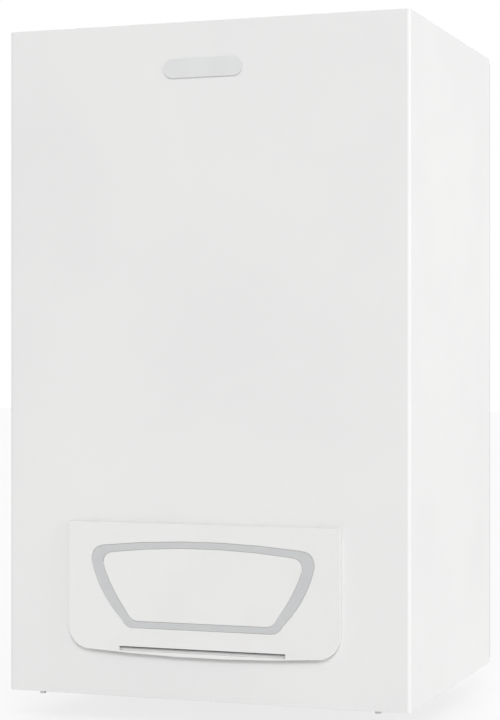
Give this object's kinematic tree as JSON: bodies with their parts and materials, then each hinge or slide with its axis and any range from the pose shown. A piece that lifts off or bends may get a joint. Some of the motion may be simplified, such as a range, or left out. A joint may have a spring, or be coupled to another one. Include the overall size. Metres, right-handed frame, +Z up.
{
  "type": "combi boiler",
  "caption": "Wall-hung gas combination boiler in a plain folded steel casing, with a lift-up control flap, a sealed burner chamber with a fan, a pump and water valves over the pipe tails.",
  "frame": {"origin": "Middle of the wall bracket's rear face, on the wall.", "axes": "+Z up, +Y into the wall, the front faces -Y, +X to the right seen from the front."},
  "size_m": [0.44, 0.3785, 0.739],
  "materials": {
    "white_enamel": "white powder coat, fine satin",
    "white_plastic": "white moulded plastic",
    "ring_grey": "light grey moulded plastic",
    "dark_plastic": "dark grey moulded plastic",
    "frame_grey": "grey painted sheet steel",
    "galvanised": "galvanised sheet steel",
    "stainless": "bright stainless steel",
    "cast_grey": "cast aluminium",
    "cast_iron": "black coated cast iron",
    "brass": "raw brass",
    "copper": "copper",
    "ceramic": "ceramic fibre and ceramic rod",
    "vessel_red": "red painted steel",
    "clear_glass": "dark tinted window",
    "board_green": "lacquered circuit board",
    "rubber": "black rubber",
    "signal_red": "red moulded plastic",
    "signal_blue": "blue moulded plastic"
  },
  "bodies": {
    "chassis": {"pressure_gauge": "white_plastic", "control_fascia": "ring_grey", "control_box": "dark_plastic", "diverter_motor": "dark_plastic", "pump_motor": "dark_plastic", "air_pressure_switch": "dark_plastic", "back_frame": "frame_grey", "top_plate": "frame_grey", "bottom_plate": "frame_grey", "wall_bracket": "galvanised", "chamber_box": "galvanised", "chamber_cover": "galvanised", "combustion_shroud": "galvanised", "fan_housing": "galvanised", "burner": "stainless", "flue_hood": "stainless", "exhaust_spigot": "stainless", "plate_heat_exchanger": "stainless", "flue_collar": "cast_grey", "fan_motor": "cast_grey", "gas_valve": "cast_grey", "pump_housing": "cast_iron", "gas_manifold": "brass", "flow_block": "brass", "return_block": "brass", "safety_valve": "brass", "air_vent": "brass", "gas_inlet_pipe": "brass", "heat_exchanger": "copper", "gas_feed_pipe": "copper", "flow_pipe": "copper", "return_pipe": "copper", "expansion_pipe": "copper", "ceramic_lining": "ceramic", "ignition_electrodes": "ceramic", "expansion_vessel": "vessel_red", "display_lens": "clear_glass", "sight_glass": "clear_glass", "circuit_board": "board_green", "cable_gland": "rubber", "pressure_hose": "rubber"},
    "casing": {"outer_casing": "white_enamel", "badge": "ring_grey", "flap_surround": "white_plastic"},
    "flap": {"control_flap": "white_plastic", "flap_inlay": "ring_grey"},
    "hot_water_dial": {"hot_water_knob": "white_plastic"},
    "heating_dial": {"heating_knob": "white_plastic"},
    "push_button_1": {"button_1": "white_plastic"},
    "push_button_2": {"button_2": "white_plastic"},
    "push_button_3": {"button_3": "white_plastic"},
    "push_button_4": {"button_4": "white_plastic"},
    "rocker": {"power_rocker": "dark_plastic"},
    "pointer": {"gauge_pointer": "dark_plastic"},
    "fan_rotor": {"fan_impeller": "stainless"},
    "pump_rotor": {"pump_impeller": "dark_plastic"},
    "valve_spindle": {"diverter_spindle": "stainless"},
    "filling_knob": {"filling_tap_knob": "signal_blue"},
    "relief_knob": {"safety_valve_knob": "signal_red"}
  },
  "joints": [
    {"name": "casing_removal", "type": "slide", "parent": "chassis", "child": "casing", "axis": [0, -1, 0], "range_m": [0, 0.4]},
    {"name": "flap_lift", "type": "hinge", "parent": "casing", "child": "flap", "pos_m": [0, -0.3749, -0.4505], "axis": [-1, 0, 0], "range_deg": [0, 90]},
    {"name": "hot_water_turn", "type": "hinge", "parent": "chassis", "child": "hot_water_dial", "pos_m": [-0.062, -0.36, -0.512], "axis": [0, 1, 0], "range_deg": [0, 270]},
    {"name": "heating_turn", "type": "hinge", "parent": "chassis", "child": "heating_dial", "pos_m": [0.062, -0.36, -0.512], "axis": [0, 1, 0], "range_deg": [0, 270]},
    {"name": "button_1_press", "type": "slide", "parent": "chassis", "child": "push_button_1", "axis": [0, 1, 0], "range_m": [0, 0.0015], "stiffness_N_per_m": 700},
    {"name": "button_2_press", "type": "slide", "parent": "chassis", "child": "push_button_2", "axis": [0, 1, 0], "range_m": [0, 0.0015], "stiffness_N_per_m": 700},
    {"name": "button_3_press", "type": "slide", "parent": "chassis", "child": "push_button_3", "axis": [0, 1, 0], "range_m": [0, 0.0015], "stiffness_N_per_m": 700},
    {"name": "button_4_press", "type": "slide", "parent": "chassis", "child": "push_button_4", "axis": [0, 1, 0], "range_m": [0, 0.0015], "stiffness_N_per_m": 700},
    {"name": "rocker_tip", "type": "hinge", "parent": "chassis", "child": "rocker", "pos_m": [0.104, -0.356, -0.512], "axis": [1, 0, 0], "range_deg": [-8, 8]},
    {"name": "pointer_turn", "type": "hinge", "parent": "chassis", "child": "pointer", "pos_m": [-0.104, -0.3638, -0.512], "axis": [0, 1, 0], "range_deg": [-125, 125]},
    {"name": "fan_spin", "type": "hinge", "parent": "chassis", "child": "fan_rotor", "pos_m": [-0.03, -0.2053, -0.0201], "axis": [0, -1, 0], "continuous": true},
    {"name": "pump_spin", "type": "hinge", "parent": "chassis", "child": "pump_rotor", "pos_m": [0.115, -0.112, -0.418], "axis": [0, -1, 0], "continuous": true},
    {"name": "diverter_shift", "type": "slide", "parent": "chassis", "child": "valve_spindle", "axis": [0, 0, 1], "range_m": [0, 0.006]},
    {"name": "filling_tap_turn", "type": "hinge", "parent": "chassis", "child": "filling_knob", "pos_m": [0.0975, -0.112, -0.63], "axis": [0, 0, -1], "range_deg": [0, 180]},
    {"name": "relief_turn", "type": "hinge", "parent": "chassis", "child": "relief_knob", "pos_m": [0.166, -0.15, -0.51], "axis": [0, -1, 0], "range_deg": [0, 90]}
  ]
}
